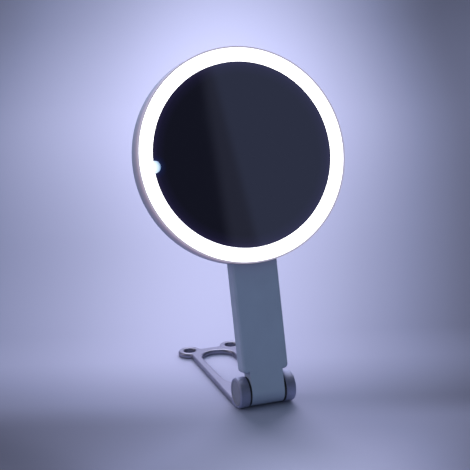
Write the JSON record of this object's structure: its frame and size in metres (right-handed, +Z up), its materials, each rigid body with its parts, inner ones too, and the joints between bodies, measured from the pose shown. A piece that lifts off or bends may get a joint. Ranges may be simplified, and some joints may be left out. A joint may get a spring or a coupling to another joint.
{
  "type": "lighted travel makeup mirror",
  "caption": "Round makeup mirror in a lit opal ring with a touch key, on a flat handle that folds down on to a slotted metal stand with hanging eyes.",
  "frame": {"origin": "on the table, under the middle of the footprint of the whole object at rest", "axes": "+Z up, -Y towards the mirror's user, +X to the right as the user sees it"},
  "size_m": [0.152, 0.134, 0.2469],
  "materials": {
    "cast_metal": "satin",
    "spun_metal": "spun satin",
    "steel": "bright",
    "socket_steel": "plated",
    "foot_rubber": "matte",
    "shell_plastic": "satin",
    "washer_plastic": "matte",
    "bush_plastic": "natural",
    "silvered_glass": "polished",
    "foam": "matte",
    "opal_plastic": "opal",
    "white_board": "matte",
    "green_board": "matte",
    "lamp_chip": "gloss",
    "contact_metal": "bright",
    "switch_black": "matte",
    "button_plastic": "satin",
    "clear_plastic": "clear",
    "cell_foil": "foil",
    "lead_cover": "satin"
  },
  "bodies": {
    "stand": {"stand_frame": "cast_metal", "left_knuckle": "cast_metal", "right_knuckle": "cast_metal", "front_foot_pad": "foot_rubber", "rear_foot_pads": "foot_rubber", "left_end_cap": "spun_metal", "right_end_cap": "spun_metal", "hinge_shaft": "steel", "disc_springs": "steel", "shaft_nut": "steel"},
    "handle": {"handle_body": "shell_plastic", "handle_back_cover": "shell_plastic", "handle_cover_screws": "steel", "lower_bush_left": "bush_plastic", "lower_bush_right": "bush_plastic", "left_friction_washer": "washer_plastic", "right_friction_washer": "washer_plastic", "tilt_bush_left": "bush_plastic", "tilt_bush_right": "bush_plastic"},
    "head": {"front_frame": "shell_plastic", "mirror_glass": "silvered_glass", "mirror_adhesive": "foam", "light_diffuser": "opal_plastic", "led_board": "white_board", "led_chips": "lamp_chip", "touch_key": "opal_plastic", "touch_contact": "contact_metal", "touch_board": "green_board", "control_board": "green_board", "control_board_screws": "steel", "usb_socket": "socket_steel", "tact_switch": "switch_black", "charge_light_pipe": "clear_plastic", "battery_pad": "foam", "battery_cell": "cell_foil", "rear_shell": "shell_plastic", "rear_shell_screws": "steel", "tilt_pin": "steel", "tilt_washers": "washer_plastic", "battery_leads": "lead_cover", "led_leads": "lead_cover", "touch_leads": "lead_cover"},
    "power_button": {"power_button": "button_plastic", "switch_plunger": "switch_black"}
  },
  "joints": [
    {"name": "handle_fold", "type": "hinge", "parent": "stand", "child": "handle", "pos_m": [0, -0.0561, 0.0114], "axis": [1, 0, 0], "range_deg": [-75.3, 30]},
    {"name": "head_tilt", "type": "hinge", "parent": "handle", "child": "head", "pos_m": [0, -0.03058, 0.12663], "axis": [1, 0, 0], "range_deg": [-35, 1]},
    {"name": "power_button_press", "type": "slide", "parent": "head", "child": "power_button", "axis": [0, -0.9449, 0.3272], "range_m": [0, 0.0005], "stiffness_N_per_m": 1600}
  ]
}
